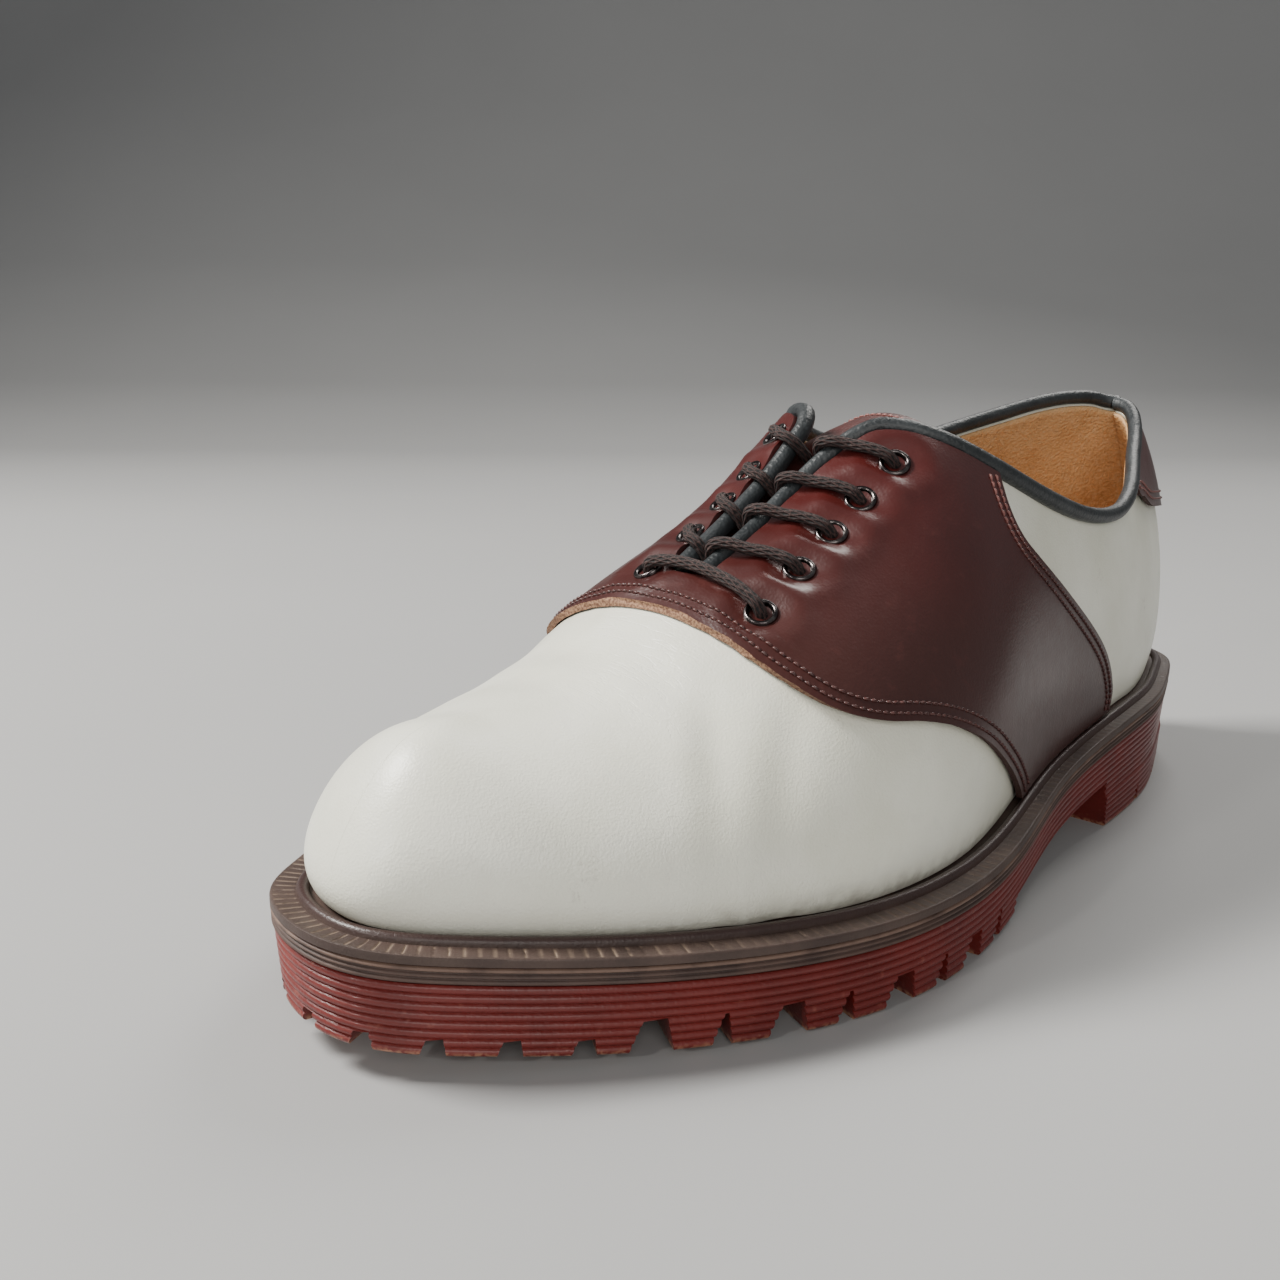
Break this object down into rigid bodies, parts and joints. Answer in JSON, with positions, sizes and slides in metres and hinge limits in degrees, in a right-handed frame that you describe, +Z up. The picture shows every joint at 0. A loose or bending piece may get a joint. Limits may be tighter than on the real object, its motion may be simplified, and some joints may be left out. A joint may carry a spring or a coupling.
{
  "type": "saddle shoe",
  "caption": "Low lace-up leather shoe for the left foot, with a contrast saddle over the instep, rolled collar and a lugged rubber sole with a heel.",
  "frame": {"origin": "centre of the footprint's box, on the floor that the shoe stands on", "axes": "-Y towards the toe, +X towards the outer side of the left foot, +Z up"},
  "size_m": [0.1168, 0.305, 0.1106],
  "materials": {
    "red_rubber": "satin",
    "brown_rubber": "satin",
    "welt_leather": "satin",
    "insole_leather": "matte",
    "white_leather": "satin",
    "oxblood_leather": "gloss",
    "slate_piping": "satin",
    "gunmetal": "satin",
    "lace_cotton": "matte"
  },
  "bodies": {
    "root": {"outsole": "red_rubber", "midsole": "brown_rubber", "welt": "welt_leather", "insole": "insole_leather", "upper": "white_leather", "saddle": "oxblood_leather", "heel_tab": "oxblood_leather", "tongue": "oxblood_leather", "collar_piping": "slate_piping", "eyelet_outer_1": "gunmetal", "eyelet_outer_2": "gunmetal", "eyelet_outer_3": "gunmetal", "eyelet_outer_4": "gunmetal", "eyelet_outer_5": "gunmetal", "eyelet_inner_1": "gunmetal", "eyelet_inner_2": "gunmetal", "eyelet_inner_3": "gunmetal", "eyelet_inner_4": "gunmetal", "eyelet_inner_5": "gunmetal", "lace_bar": "lace_cotton", "lace_crossing_2": "lace_cotton", "lace_crossing_3": "lace_cotton", "lace_crossing_4": "lace_cotton", "lace_crossing_5": "lace_cotton"}
  },
  "joints": []
}
